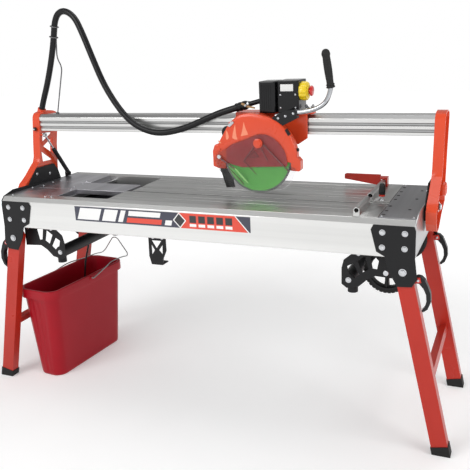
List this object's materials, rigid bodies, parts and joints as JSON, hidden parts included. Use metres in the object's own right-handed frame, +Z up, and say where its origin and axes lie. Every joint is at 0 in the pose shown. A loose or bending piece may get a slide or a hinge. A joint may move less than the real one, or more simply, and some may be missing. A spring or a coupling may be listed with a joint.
{
  "type": "tile cutter",
  "caption": "Bridge tile saw on a folding stand: water table, tilting rail bridge, sliding plunge head with guarded blade, fence, transport wheels and a water bucket.",
  "frame": {"origin": "on the floor, below the middle of the table", "axes": "+X along the table to the fence end, +Y away from the operator, +Z up"},
  "size_m": [1.83, 0.5935, 1.4723],
  "materials": {
    "aluminium": "satin brushed extrusion",
    "aluminium_sheet": "brushed sheet",
    "black_plate": "textured black powder coat",
    "grey_plate": "grey powder coat",
    "red_paint": "gloss red-orange powder coat",
    "zinc": "zinc plated",
    "steel": "machined steel",
    "chrome": "polished",
    "black_rubber": "matte",
    "black_plastic": "fine grain",
    "wheel": "moulded",
    "red_housing": "gloss moulded",
    "smoke_clear": "tinted clear plastic",
    "green_blade": "green core, steel rim",
    "yellow_plastic": "moulded",
    "red_button": "moulded",
    "red_bucket": "moulded polypropylene"
  },
  "bodies": {
    "frame": {"front_beam": "aluminium", "rear_beam": "aluminium", "left_end_plate": "black_plate", "right_end_plate": "grey_plate", "water_tray": "grey_plate", "deck_planks": "aluminium", "deck_joists": "black_plate", "left_deck": "aluminium_sheet", "right_cover_plate": "grey_plate", "fence": "aluminium", "leg_brackets": "black_plate", "bracket_bolts": "zinc", "truss_brackets": "black_plate", "cross_tubes": "black_plate", "wheel_axle": "steel", "leg_catch": "black_plate", "tilt_hinges": "black_plate", "drain_hose": "black_rubber"},
    "left_stand": {"left_legs": "red_paint", "left_feet": "black_rubber"},
    "right_stand": {"right_legs": "red_paint", "right_feet": "black_rubber"},
    "front_left_lever": {"front_left_lever": "black_plastic"},
    "rear_left_lever": {"rear_left_lever": "black_plastic"},
    "front_right_lever": {"front_right_lever": "black_plastic"},
    "rear_right_lever": {"rear_right_lever": "black_plastic"},
    "front_wheel": {"front_wheel": "wheel"},
    "rear_wheel": {"rear_wheel": "wheel"},
    "bridge": {"left_tower": "red_paint", "right_tower": "red_paint", "rail": "aluminium", "hose_mast": "zinc", "power_hose": "black_rubber"},
    "tilt_knob": {"tilt_knob": "red_housing"},
    "strut_tube": {"strut_tube": "black_plate"},
    "strut_rod": {"strut_rod": "chrome"},
    "carriage": {"saddle": "red_housing", "saddle_pads": "black_plastic", "capacitor_box": "black_plastic", "switch_box": "black_plastic", "stop_button_housing": "yellow_plastic", "hose_sleeve": "black_rubber"},
    "stop_button": {"stop_button": "red_button"},
    "saddle_lock_screw": {"saddle_lock_screw": "zinc"},
    "head": {"head_casting": "red_paint", "motor": "black_plastic", "blade_housing": "red_housing", "splash_flap": "black_rubber", "handle_tube": "chrome", "handle_grip": "black_rubber", "handle_clamp": "black_plastic"},
    "guard": {"clear_guard": "smoke_clear", "guard_fittings": "red_housing"},
    "blade": {"blade": "green_blade", "arbor": "steel"},
    "fence_clamp_knob": {"fence_clamp_knob": "black_plastic"},
    "side_stop": {"side_stop": "red_paint"},
    "bucket": {"bucket": "red_bucket"},
    "bucket_bail": {"bucket_bail": "zinc"}
  },
  "joints": [
    {"name": "left_leg_fold", "type": "hinge", "parent": "frame", "child": "left_stand", "pos_m": [-0.747, 0, 0.6185], "axis": [0, -1, 0], "range_deg": [0, 102]},
    {"name": "right_leg_fold", "type": "hinge", "parent": "frame", "child": "right_stand", "pos_m": [0.747, 0, 0.6185], "axis": [0, 1, 0], "range_deg": [0, 102]},
    {"name": "front_left_lever_turn", "type": "hinge", "parent": "left_stand", "child": "front_left_lever", "pos_m": [-0.79297, -0.241, 0.59394], "axis": [0, 1, 0], "range_deg": [0, 70]},
    {"name": "rear_left_lever_turn", "type": "hinge", "parent": "left_stand", "child": "rear_left_lever", "pos_m": [-0.79297, 0.241, 0.59394], "axis": [0, 1, 0], "range_deg": [0, 70]},
    {"name": "front_right_lever_turn", "type": "hinge", "parent": "right_stand", "child": "front_right_lever", "pos_m": [0.79297, -0.241, 0.59394], "axis": [0, -1, 0], "range_deg": [0, 70]},
    {"name": "rear_right_lever_turn", "type": "hinge", "parent": "right_stand", "child": "rear_right_lever", "pos_m": [0.79297, 0.241, 0.59394], "axis": [0, -1, 0], "range_deg": [0, 70]},
    {"name": "front_wheel_spin", "type": "hinge", "parent": "frame", "child": "front_wheel", "pos_m": [0.688, -0.188, 0.594], "axis": [0, 1, 0], "continuous": true},
    {"name": "rear_wheel_spin", "type": "hinge", "parent": "frame", "child": "rear_wheel", "pos_m": [0.688, 0.188, 0.594], "axis": [0, 1, 0], "continuous": true},
    {"name": "bridge_tilt", "type": "hinge", "parent": "frame", "child": "bridge", "pos_m": [0, -0.06, 0.781], "axis": [1, 0, 0], "range_deg": [0, 45]},
    {"name": "tilt_knob_turn", "type": "hinge", "parent": "bridge", "child": "tilt_knob", "pos_m": [0.8, 0.02, 0.823], "axis": [1, 0, 0], "range_deg": [0, 180]},
    {"name": "strut_swing", "type": "hinge", "parent": "frame", "child": "strut_tube", "pos_m": [-0.77, 0.16, 0.793], "axis": [1, 0, 0], "range_deg": [0, 22.3]},
    {"name": "strut_extend", "type": "slide", "parent": "strut_tube", "child": "strut_rod", "axis": [0, -0.5787, 0.8155], "range_m": [0, 0.1263]},
    {"name": "carriage_slide", "type": "slide", "parent": "bridge", "child": "carriage", "axis": [-1, 0, 0], "range_m": [-0.34, 0.46], "deforming": ["power_hose"]},
    {"name": "stop_button_press", "type": "slide", "parent": "carriage", "child": "stop_button", "axis": [-1, 0, 0], "range_m": [0, 0.004], "stiffness_N_per_m": 600, "springref_m": -0.001},
    {"name": "saddle_lock_turn", "type": "hinge", "parent": "carriage", "child": "saddle_lock_screw", "pos_m": [0.368, 0.039, 1.08], "axis": [0, 0, 1], "range_deg": [-90, 90]},
    {"name": "head_plunge", "type": "hinge", "parent": "carriage", "child": "head", "pos_m": [0.088, 0, 1.008], "axis": [0, 1, 0], "range_deg": [0, 12.5]},
    {"name": "guard_swing", "type": "hinge", "parent": "head", "child": "guard", "pos_m": [0.066, -0.073, 0.927], "axis": [0, 1, 0], "range_deg": [-12.5, 0]},
    {"name": "blade_spin", "type": "hinge", "parent": "head", "child": "blade", "pos_m": [0.207, -0.06, 0.925], "axis": [0, 1, 0], "continuous": true},
    {"name": "fence_clamp_turn", "type": "hinge", "parent": "frame", "child": "fence_clamp_knob", "pos_m": [0.633, -0.012, 0.8], "axis": [0, 0, 1], "range_deg": [0, 180]},
    {"name": "side_stop_slide", "type": "slide", "parent": "frame", "child": "side_stop", "axis": [0, 1, 0], "range_m": [-0.15, 0.02]},
    {"name": "bucket_shift", "type": "slide", "parent": "frame", "child": "bucket", "axis": [1, 0, 0], "range_m": [0, 0.8466], "deforming": ["drain_hose"]},
    {"name": "bail_swing", "type": "hinge", "parent": "bucket", "child": "bucket_bail", "pos_m": [-0.694, 0.011, 0.376], "axis": [0.9962, -0.0872, 0], "range_deg": [0, 9]}
  ],
  "couplings": [
    {"joint": "guard_swing", "follows": "head_plunge", "ratio": -1},
    {"joint": "strut_swing", "follows": "bridge_tilt", "ratio": 0.49035},
    {"joint": "strut_extend", "follows": "bridge_tilt", "m_per_rad": 0.15951},
    {"joint": "bucket_shift", "follows": "left_leg_fold", "m_per_rad": 0.475}
  ]
}
